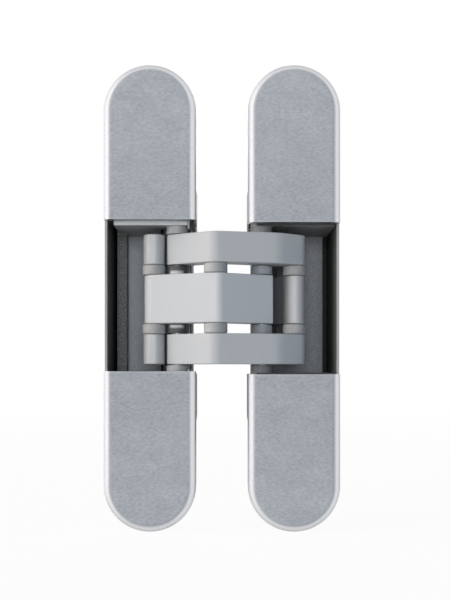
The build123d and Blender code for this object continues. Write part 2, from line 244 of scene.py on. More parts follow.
def carrier_coat(name, pin, coat, floor, shelf, painted_shelf_edge, knuckle, lug, lug_highlight):
    """Speckled coat; the milled floor, shelves, knuckles and lugs are told apart by their place, with a
    painted highlight on the lugs and painted light or shade on the shelf edges.
    """
    material, tree, shader, place = start_finish(name, roughness=0.5, specular=0.3)
    speckle = stretched_noise(tree, place, SPECKLE_SCALE)
    sides = add_node(tree, "SeparateXYZ", {"Vector": place}).outputs
    height = far_from(tree, sides["Z"], 0.0)
    milled = span(tree, sides["Y"], *MILLED_FLOOR_Y)
    colour = blend_colours(tree, milled, ramp(tree, speckle, *coat), ramp(tree, speckle, *floor))
    axis = pin_axis(pin)
    in_front = span(tree, sides["Y"], *(axis.imag + edge for edge in KNUCKLE_BACK))
    near_pin = both(tree, span(tree, reach_from(tree, place, axis), *KNUCKLE_REACH), in_front)
    # Painted highlight: a bright band low on each lug, in front of the pin, where a glint would fall.
    under_pin = span(tree, far_from(tree, sides["X"], axis.real), *LUG_HIGHLIGHT_X)
    highlight_band = both(tree, span(tree, height, *LUG_HIGHLIGHT_Z), under_pin)
    knuckle_and_lug = blend_colours(tree, highlight_band, lug, lug_highlight)
    knuckle_and_lug = blend_colours(tree, span(tree, height, *KNUCKLE_FOOT_Z), knuckle_and_lug, knuckle)
    colour = blend_colours(tree, near_pin, colour, knuckle_and_lug)
    # Painted light and shade: the shelf's front edge is painted light on the frame carrier and dark on the
    # door carrier.
    shelf_with_painted_edge = blend_colours(tree, span(tree, sides["Y"], *PAINTED_SHELF_EDGE_Y), shelf, painted_shelf_edge)
    colour = blend_colours(tree, span(tree, height, *SHELF_EDGE_Z), colour, shelf_with_painted_edge)
    tree.links.new(colour, shader.inputs["Base Color"])
    soft_edges(tree, shader, speckle, *SPECKLE_BUMP)
    return material


dress("frame_carrier", carrier_coat(
    "frame_carrier_coat", "frame_pivot_pin_upper",
    coat=((0.32, grey(0.06)), (0.48, grey(0.16)), (0.6, grey(0.19)), (0.74, grey(0.36))),
    floor=((0.3, grey(0.40, 0.04)), (0.7, grey(0.55, 0.04))),
    shelf=grey(0.42), painted_shelf_edge=grey(0.60, 0.01), knuckle=grey(0.41, 0.02), lug=grey(0.08),
    lug_highlight=grey(0.6)))
dress("door_carrier", carrier_coat(
    "door_carrier_coat", "door_pivot_pin",
    coat=((0.32, grey(0.04)), (0.6, grey(0.09)), (0.74, grey(0.2))),
    floor=((0.3, grey(0.24)), (0.5, grey(0.34, 0.03)), (0.72, grey(0.46, 0.03))),
    shelf=grey(0.28), painted_shelf_edge=grey(0.05), knuckle=grey(0.22, 0.02), lug=grey(0.36, 0.06),
    lug_highlight=grey(0.36, 0.06)))

# Clamping screws: four socket screws that clamp the carriers' tongues once the door hangs right.
# They are cold-headed steel, plated with zinc, and they are hidden under the covers.
ZINC_DARK = (0.5, 0.5, 0.52, 1)
ZINC_LIGHT = (0.62, 0.62, 0.6, 1)
ZINC_CLOUD_SCALE = (900, 900, 900)
NOISE_SPREAD = (0.3, 0.7)


def roughen(tree, shader, height, strength, distance):
    """Bump from a height, on the shader's normal."""
    bump = add_node(tree, "Bump", {"Height": height, "Strength": strength, "Distance": distance})
    tree.links.new(bump.outputs["Normal"], shader.inputs["Normal"])


def toned_finish(name, scale, dark, light, bump=None, **constants):
    """A finish from dark to light along a noise, with an optional bump of (strength, distance) from it."""
    material, tree, shader, place = start_finish(name, **constants)
    grain = stretched_noise(tree, place, scale)
    tree.links.new(ramp(tree, grain, *zip(NOISE_SPREAD, (dark, light))), shader.inputs["Base Color"])
    if bump:
        roughen(tree, shader, grain, *bump)
    return material


zinc_plate = toned_finish("zinc_plate", ZINC_CLOUD_SCALE, ZINC_DARK, ZINC_LIGHT, roughness=0.35, metallic=1.0)
dress("frame_clamp_screws", zinc_plate)
dress("door_clamp_screws", zinc_plate)

# Covers: four hollow aluminium caps, round at the outer end and cut straight at the opening.
# Each is pressed onto its flange by two tabs that go into slots there.
# The face is brushed across and satin anodised; the bevel and the cut edge are diamond-turned bright.
COVER_SEAT_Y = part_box("frame_housing")[0].y
COVER_FACE_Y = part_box("frame_cover_upper")[0].y
COVER_BEVEL = (0.0013, 0.00085)
COVER_WALL_ROUND = 0.00045
COVER_FACE_ROUND = 0.00085
COVER_WALL = 0.0016
COVER_HOLLOW = 0.0009
COVER_CUT_ROUND = 0.00022
COVER_ARC_STEPS = 72
COVER_FACE_COLUMNS = 4
QUARTER_POINTS = 5
TAB_REACH = 0.0082
TAB_HEIGHT = 0.040
TAB_THICKNESS = 0.0012
TAB_WIDTH = 0.0040
TAB_EASE = 0.0002
TAB_ROOT = 0.0001
TAB_CORNER_POWER = 0.25
TAB_STEPS = 32
MERGE_DISTANCE = 1e-6
SHARP_ANGLE = math.radians(40)
SATIN_DARK = (0.290, 0.304, 0.328, 1)
SATIN_LIGHT = (0.467, 0.488, 0.517, 1)
SATIN_MEAN = (0.379, 0.396, 0.422, 1)
BRUSHING_SCALE = (1100, 1100, 5200)
BRUSHING_BUMP = (0.12, 0.00002)
BRUSHING_ROUGHNESS = (0.46, 0.58)
CLOUD_SCALE = (1300, 1300, 2600)
MOTTLE_SPREAD = (0.6, 1.4)
PAINTED_LIGHT_ENDS_Z = (0.018, 0.055)
SATIN_PAINTED_LIGHT_ENDS = (0.935, 1.065)
BROAD_SCALE = (180, 180, 260)
SATIN_BROAD = (0.96, 1.04)
BEVEL_PAINTED_HIGHLIGHT = (0.765, 0.77, 0.79, 1)
BEVEL_EDGE_PAINTED_SHADE = (0.635, 0.64, 0.66, 1)
BEVEL_PAINTED_TONES = ((0.05, SATIN_MEAN), (0.24, BEVEL_PAINTED_HIGHLIGHT), (0.52, BEVEL_PAINTED_HIGHLIGHT), (0.68, BEVEL_EDGE_PAINTED_SHADE))
BEVEL_PAINTED_SHADE_MIDDLE_X = (0.0045, 0.0095)
BEVEL_PAINTED_SHADE_MIDDLE = (0.88, 1.0)
STREAK_SCALE = (2500, 2500, 2500)
STREAK_SPREAD = (0.35, 0.65)
BEVEL_STREAK = (0.93, 1.0)


def rounded_corner(before, corner, after, size, steps=4):
    """Points of a corner softened by a parabola that leaves each side at the given size from the corner."""
    before, corner, after = np.array(before), np.array(corner), np.array(after)
    start = corner + (before - corner) * size / np.linalg.norm(before - corner)
    end = corner + (after - corner) * size / np.linalg.norm(after - corner)
    t = np.linspace(0, 1, steps + 1)[:, None]
    return (1 - t) ** 2 * start + 2 * t * (1 - t) * corner + t ** 2 * end


def grid_faces(rows, columns, close_columns=False):
    """Quads of a grid of points numbered row by row; the last column joins the first when closed."""
    row, column = np.meshgrid(np.arange(rows - 1), np.arange(columns - (not close_columns)), indexing="ij")
    after = (column + 1) % columns
    here, above = row * columns, (row + 1) * columns
    return np.stack([here + column, here + after, above + after, above + column], -1).reshape(-1, 4)


def join_surfaces(*surfaces):
    """Several surfaces of (points, quads) as one, each one's quads counted on from the points before it."""
    starts = np.cumsum([0] + [len(points) for points, quads in surfaces])
    all_quads = [quads + start for (points, quads), start in zip(surfaces, starts)]
    return np.vstack([points for points, quads in surfaces]), np.vstack(all_quads)


def make_piece(name, points, quads, finishes, body, replaced, finish_of_face=None, caps=()):
    """A closed mesh that rides on a body in place of its CAD node; caps are heights where it is filled in."""
    mesh = bpy.data.meshes.new(name)
    mesh.from_pydata(points.tolist(), [], quads.tolist())
    if finish_of_face is not None:
        mesh.polygons.foreach_set("material_index", finish_of_face)
    work = bmesh.new()
    work.from_mesh(mesh)
    bmesh.ops.remove_doubles(work, verts=work.verts, dist=MERGE_DISTANCE)
    bmesh.ops.dissolve_degenerate(work, edges=work.edges, dist=MERGE_DISTANCE)
    for height in caps:
        open_edges = [edge for edge in work.edges if edge.is_boundary]
        rim = [edge for edge in open_edges if all(abs(v.co.z - height) < MERGE_DISTANCE for v in edge.verts)]
        bmesh.ops.triangle_fill(work, edges=rim, use_beauty=True)
    bmesh.ops.recalc_face_normals(work, faces=work.faces)
    work.to_mesh(mesh)
    work.free()
    mesh.shade_smooth()
    mesh.set_sharp_from_angle(angle=SHARP_ANGLE)
    for finish in finishes:
        mesh.materials.append(finish)
    piece = bpy.data.objects.new(name, mesh)
    bpy.context.scene.collection.objects.link(piece)
    flat = piece.modifiers.new("flat_faces", "WEIGHTED_NORMAL")
    flat.keep_sharp = True
    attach(piece, body)
    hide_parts(replaced)


def cover_cap(low, high, up):
    """A cap within its box, as a profile carried round its edge, with a mark on each quad that is cut bright.

    Stations run up one side, round the half circle and down the other. Each station has a foot on the
    middle line and an outward direction; the profile gives the reach along that direction and the depth y,
    from the hollow at the back, round the seat, up the wall, over the bevel and across the face to the
    middle line. At the cut end the face falls away by a quarter round, and a last station drawn back to the
    seat, to the points that the back has there, closes the end.
    """
    middle_x, radius = (low.x + high.x) / 2, (high.x - low.x) / 2
    opening, tip = sorted((abs(low.z), abs(high.z)))
    end_z = tip - radius
    turn = np.linspace(0, math.pi / 2, QUARTER_POINTS)
    cut_z = opening + COVER_CUT_ROUND * (1 - np.cos(turn))
    wall_z = opening + COVER_WALL
    side_z = np.r_[opening, cut_z, wall_z, wall_z, end_z, end_z]
    side_loss = np.r_[1.0, COVER_CUT_ROUND * (1 - np.sin(turn)), 0, 0, 0, 0]
    side_hollow = np.r_[0, 0 * turn, 0, COVER_HOLLOW, COVER_HOLLOW, 0]
    sweep = np.linspace(math.pi, 0, COVER_ARC_STEPS + 1)
    foot_z = np.r_[side_z, 0 * sweep + end_z, side_z[::-1]][:, None]
    angle = np.r_[0 * side_z + math.pi, sweep, 0 * side_z][:, None]
    loss = np.r_[side_loss, 0 * sweep, side_loss[::-1]][:, None]
    hollow = np.r_[side_hollow, 0 * sweep, side_hollow[::-1]][:, None]
    hollow_rim = radius - COVER_WALL
    seat = (radius, COVER_SEAT_Y)
    wall_top = (radius, COVER_FACE_Y + COVER_BEVEL[1])
    face_rim = (radius - COVER_BEVEL[0], COVER_FACE_Y)
    face_middle = (0, COVER_FACE_Y)
    profile = np.vstack([
        [(0, COVER_SEAT_Y), (hollow_rim, COVER_SEAT_Y), (hollow_rim, COVER_SEAT_Y), seat],
        rounded_corner(seat, wall_top, face_rim, COVER_WALL_ROUND),
        rounded_corner(wall_top, face_rim, face_middle, COVER_FACE_ROUND, steps=6),
        [(radius / 2, COVER_FACE_Y), face_middle]])
    in_hollow = np.r_[1, 1, np.zeros(len(profile) - 2)]
    reach = np.tile(profile[:, 0], (len(foot_z), 1))
    reach[[0, -1]] = np.select([reach[0] >= hollow_rim, reach[0] > 0], [radius, hollow_rim])
    y = np.clip(profile[:, 1] - in_hollow * hollow, COVER_FACE_Y + loss, None)
    y = np.minimum(y, COVER_SEAT_Y)
    points = np.stack([middle_x + reach * np.cos(angle), y, up * (foot_z + reach * np.sin(angle))], -1)
    bright = np.ones((len(foot_z) - 1, len(profile) - 1), int)
    bright[len(turn):-len(turn), -COVER_FACE_COLUMNS:] = 0
    return points.reshape(-1, 3), grid_faces(len(foot_z), len(profile)), bright.ravel()


def cover_tab(middle_x, middle_z, tip_y):
    """A tab as a section carried along y from just inside the hollow's floor to an eased tip.

    The section is a rectangle with soft corners: half its size times the fourth root of cos and of sin, with
    their signs.
    """
    turn = np.linspace(0, 2 * math.pi, TAB_STEPS, endpoint=False)
    across = np.sign(np.cos(turn)) * abs(np.cos(turn)) ** TAB_CORNER_POWER
    along = np.sign(np.sin(turn)) * abs(np.sin(turn)) ** TAB_CORNER_POWER
    root_y = COVER_SEAT_Y - COVER_HOLLOW - TAB_ROOT
    y = np.array([root_y, root_y, tip_y - TAB_EASE, tip_y, tip_y])[:, None]
    inset = np.array([TAB_WIDTH, 0, 0, TAB_EASE, TAB_WIDTH])[:, None]
    half_x = np.maximum(TAB_THICKNESS / 2 - inset, 0)
    half_z = np.maximum(TAB_WIDTH / 2 - inset, 0)
    points = np.stack([middle_x + half_x * across, y + 0 * across, middle_z + half_z * along], -1)
    return points.reshape(-1, 3), grid_faces(len(y), len(turn), True)


def shaded(tree, colour, value):
    """A colour multiplied by a value."""
    inputs = {0: 1.0, 6: colour, 7: value}
    return add_node(tree, "Mix", inputs, data_type="RGBA", blend_type="MULTIPLY").outputs[2]


satin_face, tree, shader, place = start_finish(
    "satin_brushed_aluminium", roughness=0.52, metallic=0.12, specular=0.25)
brushing = stretched_noise(tree, place, BRUSHING_SCALE, detail=3.0, roughness=0.65)
cloud = stretched_noise(tree, place, CLOUD_SCALE)
mottle = add_node(tree, "Math", {0: brushing, 1: cloud}, operation="ADD").outputs[0]
satin = ramp(tree, span(tree, mottle, *MOTTLE_SPREAD), (0.0, SATIN_DARK), (1.0, SATIN_LIGHT))
sides = add_node(tree, "SeparateXYZ", {"Vector": place}).outputs
# Painted light: the satin face is painted lighter towards the covers' outer ends.
ends = span(tree, far_from(tree, sides["Z"], 0.0), *PAINTED_LIGHT_ENDS_Z, *SATIN_PAINTED_LIGHT_ENDS)
broad = span(tree, stretched_noise(tree, place, BROAD_SCALE, detail=1.0), *NOISE_SPREAD, *SATIN_BROAD)
tree.links.new(shaded(tree, shaded(tree, satin, ends), broad), shader.inputs["Base Color"])
tree.links.new(span(tree, brushing, *NOISE_SPREAD, *BRUSHING_ROUGHNESS), shader.inputs["Roughness"])
roughen(tree, shader, brushing, *BRUSHING_BUMP)

# Across the bevel the colour runs from the satin of the face to a band of painted highlight and a darker
# outer edge of painted shade.
turned_bevel_painted_highlight, tree, shader, place = start_finish("diamond_turned_bevel_painted_highlight", roughness=0.32, metallic=0.86)
sides = add_node(tree, "SeparateXYZ", {"Vector": place}).outputs
fall = span(tree, sides["Y"], COVER_FACE_Y, COVER_FACE_Y + COVER_BEVEL[1])
streak = span(tree, stretched_noise(tree, place, STREAK_SCALE), *STREAK_SPREAD, *BEVEL_STREAK)
# Painted shade: the bevel is painted darker near the middle of each cover's round end.
from_cover_middle = far_from(tree, far_from(tree, sides["X"], HINGE_MIDDLE_X), HINGE_MIDDLE_X)
ends = span(tree, from_cover_middle, *BEVEL_PAINTED_SHADE_MIDDLE_X, *BEVEL_PAINTED_SHADE_MIDDLE)
painted_bevel_colour = shaded(tree, shaded(tree, ramp(tree, fall, *BEVEL_PAINTED_TONES), streak), ends)
tree.links.new(painted_bevel_colour, shader.inputs["Base Color"])

for half in ("frame", "door"):
    for end, up in (("upper", 1), ("lower", -1)):
        name = half + "_cover_" + end
        low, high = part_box(name)
        points, quads, bright = cover_cap(low, high, up)
        middle_x = (low.x + high.x) / 2
        tabs = [cover_tab(middle_x + side * TAB_REACH, up * TAB_HEIGHT, high.y) for side in (-1, 1)]
        points, quads = join_surfaces((points, quads), *tabs)
        bright = np.r_[bright, np.zeros(len(quads) - len(bright), int)]
        finishes = [satin_face, turned_bevel_painted_highlight]
        make_piece(name + "_cap", points, quads, finishes, half + "_half", name, bright)

# Pins: ground steel pins that carry the arms and links, pressed into one eye and running in the others.
# Their ends are flush with the arms or carriers and lightly chamfered.
# The anchor pins, which run in the carriers' slots behind the arms, are blackened.
PIN_CHAMFER = 0.0002
PIN_STEEL = (0.30, 0.30, 0.31, 1)
PIN_STEEL_LIGHT = (0.42, 0.42, 0.43, 1)
BLACKENED = (0.03, 0.03, 0.031, 1)
BLACKENED_LIGHT = (0.05, 0.05, 0.052, 1)
PIN_RING_SCALE = (300, 300, 9000)
PIN_RING_BUMP = (0.1, 0.00001)
TURNED_STEPS = 64


def pin_radius(node):
    """Half the width of a pin's box."""
    low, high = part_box(node)
    return (high.x - low.x) / 2


def turned_piece(profile, axis):
    """A turned piece: each (radius, height) of a profile spun about an upright axis, radius * (cos, sin)."""
    angle = np.linspace(0, 2 * math.pi, TURNED_STEPS, endpoint=False)
    radius, height = np.array(profile).T[:, :, None]
    x, y = axis.real + radius * np.cos(angle), axis.imag + radius * np.sin(angle)
    points = np.stack([x, y, height + 0 * angle], -1)
    return points.reshape(-1, 3), grid_faces(len(profile), TURNED_STEPS, True)


ground_steel = toned_finish("ground_steel", PIN_RING_SCALE, PIN_STEEL, PIN_STEEL_LIGHT, PIN_RING_BUMP,
                            roughness=0.3, metallic=1.0)
blackened_steel = toned_finish("blackened_steel", PIN_RING_SCALE, BLACKENED, BLACKENED_LIGHT, PIN_RING_BUMP,
                               roughness=0.45, metallic=1.0)
for name, body, steel in (("frame_pivot_pin_upper", "frame_half", ground_steel),
                          ("frame_pivot_pin_lower", "frame_half", ground_steel),
                          ("door_pivot_pin", "door_half", ground_steel),
                          ("centre_pin", "outer_arms", ground_steel),
                          ("door_link_pin", "outer_arms", ground_steel),
                          ("frame_link_pin", "centre_arm", ground_steel),
                          ("frame_anchor_pin_upper", "frame_links", blackened_steel),
                          ("frame_anchor_pin_lower", "frame_links", blackened_steel),
                          ("door_anchor_pin", "door_link", blackened_steel)):
    low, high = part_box(name)
    radius = pin_radius(name)
    end_radius = radius - PIN_CHAMFER
    profile = [(0, low.z), (end_radius, low.z), (radius, low.z + PIN_CHAMFER),
               (radius, high.z - PIN_CHAMFER), (end_radius, high.z), (0, high.z)]
    points, quads = turned_piece(profile, pin_axis(name))
    make_piece(name + "_ground", points, quads, [steel], body, name)

# Arms: bent zinc bars that cross on one pin, a wide centre arm between two outer ones, each with a ridge.
# They are cast, tumbled so that the rims are rolled over, and sprayed a fine silver grey.
# Each is bored for its three pins, and folds into the opposite pocket as the door shuts.
OUTER_SILVER = (0.475, 0.49, 0.502, 1)
OUTER_SILVER_DARK = (0.445, 0.46, 0.472, 1)
CENTRE_SILVER = (0.555, 0.57, 0.582, 1)
CENTRE_SILVER_DARK = (0.525, 0.54, 0.552, 1)
FLAKE_SCALE = (5000, 5000, 5000)
FLAKE_BUMP = (0.12, 0.00002)
ARM_ROLL = 0.0003
BORE_ROLL = 0.00015
BORE_STEPS = 48
ARC_STEP = 0.08
RUNNING_PLAY = 0.00005
PRESSED_PLAY = 0.00003
EYE_RADIUS = 0.0026
ARM_BACK = 0.0020
BEND_ROUND = 0.0026
END_CORNER = 0.0005
OUTER_FRONT = 0.0026
OUTER_OVERRUN = 0.0014
OUTER_RIDGE_ROUND = 0.0042
OUTER_FACE_WAY = cmath.rect(1, math.radians(11))
SHOULDER_FROM_FAR_PIN = complex(0.0039, 0.0056)
SHOULDER_ROUND = 0.007
RELIEF_RADIUS = 0.0019
RELIEF_TURN = 0.24
CENTRE_FRONT = 0.0031
CENTRE_OVERRUN = 0.0017
CENTRE_RIDGE_ROUND = 0.0026
CENTRE_FAR_ROUND = 0.0034


def stretch(start, end):
    """Way from one point to another, and the normal to it that points to the front."""
    way = (end - start) / abs(end - start)
    return way, way * (1j if way.real < 0 else -1j)


def meet(point, way, other, other_way):
    """Where two lines cross, each given by a point and a way."""
    along = ((other - point).conjugate() * other_way).imag / (way.conjugate() * other_way).imag
    return point + along * way


def leave_circle(centre, radius, point, way):
    """Where a line along its way comes out of a circle: half a chord beyond the centre's foot on it."""
    foot = point + way * ((centre - point) * way.conjugate()).real
    return foot + way * math.sqrt(radius ** 2 - abs(centre - foot) ** 2)


def swing(centre, start, sweep):
    """Points of an arc: the spoke from the centre to the start, turned by angles from 0 to the sweep."""
    steps = max(3, 1 + round(abs(sweep) / ARC_STEP))
    return centre + (start - centre) * np.exp(1j * np.linspace(0, sweep, steps))


def arc_to(centre, start, end, turn=1):
    """Points of the arc from start to end, anticlockwise, or clockwise for a turn of -1."""
    sweep = turn * (turn * cmath.phase((end - centre) / (start - centre)) % (2 * math.pi))
    return swing(centre, start, sweep)


def soft_corner(before, corner, after, radius):
    """A corner rounded by an arc that touches both sides, at radius * tan(half the turn) from the corner."""
    way_in, way_out = stretch(before, corner)[0], stretch(corner, after)[0]
    turn = cmath.phase(way_out / way_in)
    start = corner - way_in * radius * math.tan(abs(turn) / 2)
    return swing(start + math.copysign(radius, turn) * 1j * way_in, start, turn)


def outer_arm_outline():
    """Outline seen from above, as x + y*1j, anticlockwise from the bend at the back.

    It goes round the near eye, along the front face over the ridge to the shoulder, tangent to the far eye
    and round it, and back past a hollow that clears the door half's pin as the arm swings.
    """
    near, cross, far = map(pin_axis, ("frame_pivot_pin_upper", "centre_pin", "door_link_pin"))
    (near_way, near_out), (far_way, far_out) = stretch(near, cross), stretch(cross, far)
    near_back, far_back = near - ARM_BACK * near_out, far - ARM_BACK * far_out
    bend = meet(near_back, near_way, far_back, far_way)
    near_end = near - OUTER_OVERRUN * near_way
    near_front = near_end + OUTER_FRONT * near_out
    shoulder = far - SHOULDER_FROM_FAR_PIN
    ridge = meet(near_front, near_way, shoulder, OUTER_FACE_WAY)
    roll = cmath.phase(far - shoulder) - math.asin(EYE_RADIUS / abs(far - shoulder))
    touch = far - 1j * cmath.rect(EYE_RADIUS, roll)
    door_pin = pin_axis("door_pivot_pin")
    relief_way = stretch(door_pin, cross + (door_pin - cross) * cmath.rect(1, RELIEF_TURN))[0]
    relief_start = leave_circle(door_pin, RELIEF_RADIUS, far_back, far_way)
    relief_side = door_pin + RELIEF_RADIUS * 1j * relief_way
    relief_edge = meet(relief_side, relief_way, far_back, far_way)
    eye_start = leave_circle(near, EYE_RADIUS, near_back, near_way)
    near_round = soft_corner(near_end, near_front, ridge, END_CORNER)
    return np.concatenate([
        soft_corner(relief_edge, bend, near_back, BEND_ROUND),
        arc_to(near, eye_start, leave_circle(near, EYE_RADIUS, near_end, near_out)),
        near_round[abs(near_round - near) > EYE_RADIUS],
        soft_corner(near_front, ridge, shoulder, OUTER_RIDGE_ROUND),
        soft_corner(ridge, shoulder, touch, SHOULDER_ROUND),
        arc_to(far, touch, leave_circle(far, EYE_RADIUS, far_back, -far_way)),
        arc_to(door_pin, relief_start, relief_side, -1),
        [relief_edge]])


def centre_arm_outline():
    """Outline seen from above, as x + y*1j, anticlockwise from the bend at the back.

    It goes round the square far end, along the front face over the ridge to the near corner, and round the
    near eye.
    """
    near, cross, far = map(pin_axis, ("door_pivot_pin", "centre_pin", "frame_link_pin"))
    (near_way, near_out), (far_way, far_out) = stretch(near, cross), stretch(cross, far)
    near_back, far_back = near - ARM_BACK * near_out, far - ARM_BACK * far_out
    bend = meet(near_back, near_way, far_back, far_way)
    near_end = near - CENTRE_OVERRUN * near_way
    near_front = near_end + CENTRE_FRONT * near_out
    far_end_back = far_back + EYE_RADIUS * far_way
    far_end_front = far + EYE_RADIUS * (far_way + far_out)
    ridge = meet(near_front, near_way, far_end_front, far_way)
    eye_start = leave_circle(near, EYE_RADIUS, near_end, near_out)
    return np.concatenate([
        soft_corner(near_back, bend, far_end_back, BEND_ROUND),
        soft_corner(bend, far_end_back, far_end_front, END_CORNER),
        soft_corner(far_end_back, far_end_front, ridge, CENTRE_FAR_ROUND),
        soft_corner(far_end_front, ridge, near_front, CENTRE_RIDGE_ROUND),
        soft_corner(ridge, near_front, near_end, END_CORNER),
        arc_to(near, eye_start, leave_circle(near, EYE_RADIUS, near_back, near_way))])


def inward(outline):
    """Way from each point of an anticlockwise outline into the piece, the mean of its two runs' normals.

    It is lengthened at corners, up to twice, so that an offset along it stays parallel to the runs.
    """
    run = np.roll(outline, -1) - outline
    left = 1j * run / abs(run)
    middle = left + np.roll(left, 1)
    middle /= abs(middle)
    return middle / np.maximum((middle * left.conj()).real, 0.5)


def rolled_wall(outline, way, low, high, roll):
    """A wall between two heights whose rims roll inwards by a quarter circle.

    At an angle t up the roll the wall is inset by roll * (1 - sin t) and has risen by roll * (1 - cos t).
    """
    turn = np.linspace(0, math.pi / 2, QUARTER_POINTS)
    inset, rise = roll * (1 - np.sin(turn)), roll * (1 - np.cos(turn))
    flat = outline + np.r_[inset, inset[::-1]][:, None] * way
    height = np.r_[low + rise, high - rise[::-1]][:, None]
    points = np.stack([flat.real, flat.imag, height + 0 * flat.real], -1)
    return points.reshape(-1, 3), grid_faces(*flat.shape, True)


def bored_bar(outline, bores, low, high):
    """A bar cut to an outline with bores of (pin, play): its rolled walls, left open at both heights."""
    spokes = np.exp(1j * np.linspace(0, 2 * math.pi, BORE_STEPS, endpoint=False))
    walls = [rolled_wall(outline, inward(outline), low, high, ARM_ROLL)]
    for pin, play in bores:
        bore = pin_axis(pin) + (pin_radius(pin) + play) * spokes
        walls.append(rolled_wall(bore, spokes, low, high, BORE_ROLL))
    return join_surfaces(*walls)


outer_spray = toned_finish("outer_arm_spray", FLAKE_SCALE, OUTER_SILVER_DARK, OUTER_SILVER, FLAKE_BUMP,
                           roughness=0.5, specular=0.4)
centre_spray = toned_finish("centre_arm_spray", FLAKE_SCALE, CENTRE_SILVER_DARK, CENTRE_SILVER, FLAKE_BUMP,
                            roughness=0.5, specular=0.4)
outer_line, centre_line = outer_arm_outline(), centre_arm_outline()
outer_bores = (("frame_pivot_pin_upper", RUNNING_PLAY),
               ("centre_pin", PRESSED_PLAY),
               ("door_link_pin", PRESSED_PLAY))
centre_bores = (("door_pivot_pin", RUNNING_PLAY),
                ("centre_pin", RUNNING_PLAY),
                ("frame_link_pin", PRESSED_PLAY))
for name, body, outline, bores, spray in (
        ("outer_arm_upper", "outer_arms", outer_line, outer_bores, outer_spray),
        ("outer_arm_lower", "outer_arms", outer_line, outer_bores, outer_spray),
        ("centre_arm", "centre_arm", centre_line, centre_bores, centre_spray)):
    low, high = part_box(name)
    points, quads = bored_bar(outline, bores, low.z, high.z)
    make_piece(name + "_bar", points, quads, [spray], body, name, caps=(low.z, high.z))

# Links: short two-eyed levers of sintered steel, from the arms' far pins back to the anchor pins.
# The barrel round the far pin shows as a satin cylinder; the web and the anchor eye behind it are painted
# dark, as painted shade.
# On the door link the barrel's flank towards the arm is painted darker too, as painted shade.
BARREL_SATIN = (0.46, 0.47, 0.475, 1)
BARREL_SATIN_DARK = (0.414, 0.423, 0.4275, 1)
LINK_PAINTED_SHADE = (0.14, 0.14, 0.145, 1)
FLANK_PAINTED_SHADE = (0.25, 0.25, 0.255, 1)
BARREL_REACH = (0.00275, 0.00265)
BARREL_FLANK = (-0.0008, -0.0020)
LATHE_SCALE = (6000, 6000, 300)
LATHE_BUMP = (0.1, 0.00001)
ANCHOR_EYE_RADIUS = 0.0020
LINK_WEB = 0.0032


def link_outline(far_pin, anchor_pin):
    """Outline seen from above, as x + y*1j: anticlockwise round each eye, from side to side of the web."""
    eye, anchor = pin_axis(far_pin), pin_axis(anchor_pin)
    way = stretch(eye, anchor)[0]
    side = LINK_WEB / 2 * 1j * way
    eye_start = leave_circle(eye, EYE_RADIUS, eye + side, way)
    anchor_start = leave_circle(anchor, ANCHOR_EYE_RADIUS, anchor - side, -way)
    return np.concatenate([
        arc_to(eye, eye_start, leave_circle(eye, EYE_RADIUS, eye - side, way)),
        arc_to(anchor, anchor_start, leave_circle(anchor, ANCHOR_EYE_RADIUS, anchor + side, -way))])


def link_finish(name, pin, painted_flank_shade=False):
    """Satin barrel round the far pin, painted dark beyond it as painted shade and, if asked, painted darker
    on the flank by the arm.
    """
    material, tree, shader, place = start_finish(name, roughness=0.45, metallic=0.2, specular=0.4)
    axis = pin_axis(pin)
    lathe = stretched_noise(tree, place, LATHE_SCALE)
    barrel = ramp(tree, lathe, *zip(NOISE_SPREAD, (BARREL_SATIN_DARK, BARREL_SATIN)))
    if painted_flank_shade:
        # Painted shade: the barrel's flank towards the centre arm is painted darker.
        across = add_node(tree, "SeparateXYZ", {"Vector": place}).outputs["X"]
        flank = span(tree, across, *(axis.real + edge for edge in BARREL_FLANK))
        barrel = blend_colours(tree, flank, barrel, FLANK_PAINTED_SHADE)
    # Painted shade: beyond the barrel the web and the anchor eye take a dark colour.
    round_pin = span(tree, reach_from(tree, place, axis), *BARREL_REACH)
    tree.links.new(blend_colours(tree, round_pin, LINK_PAINTED_SHADE, barrel), shader.inputs["Base Color"])
    roughen(tree, shader, lathe, *LATHE_BUMP)
    return material


frame_link_steel = link_finish("frame_link_steel", "frame_link_pin")
door_link_steel = link_finish("door_link_steel", "door_link_pin", painted_flank_shade=True)
for name, body, far_pin, anchor_pin, steel in (
        ("frame_link_upper", "frame_links", "frame_link_pin", "frame_anchor_pin_upper", frame_link_steel),
        ("frame_link_lower", "frame_links", "frame_link_pin", "frame_anchor_pin_lower", frame_link_steel),
        ("door_link", "door_link", "door_link_pin", "door_anchor_pin", door_link_steel)):
    low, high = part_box(name)
    bores = ((far_pin, RUNNING_PLAY), (anchor_pin, PRESSED_PLAY))
    points, quads = bored_bar(link_outline(far_pin, anchor_pin), bores, low.z, high.z)
    make_piece(name + "_lever", points, quads, [steel], body, name, caps=(low.z, high.z))

# Washers: pale rings of moulded acetal, a pair on each pin that joins the arms or carries a link.
# They are slipped over the pins and fill the gaps between arms and links, so that these run without rattle.
WASHER_HEIGHT = 0.00234
WASHER_RIM = 0.0002
WASHER_PALE = (0.40, 0.40, 0.395, 1)
WASHER_SHADE = (0.34, 0.34, 0.335, 1)
ACETAL_CLOUD_SCALE = (1500, 1500, 1500)
ACETAL_BUMP = (0.1, 0.00002)

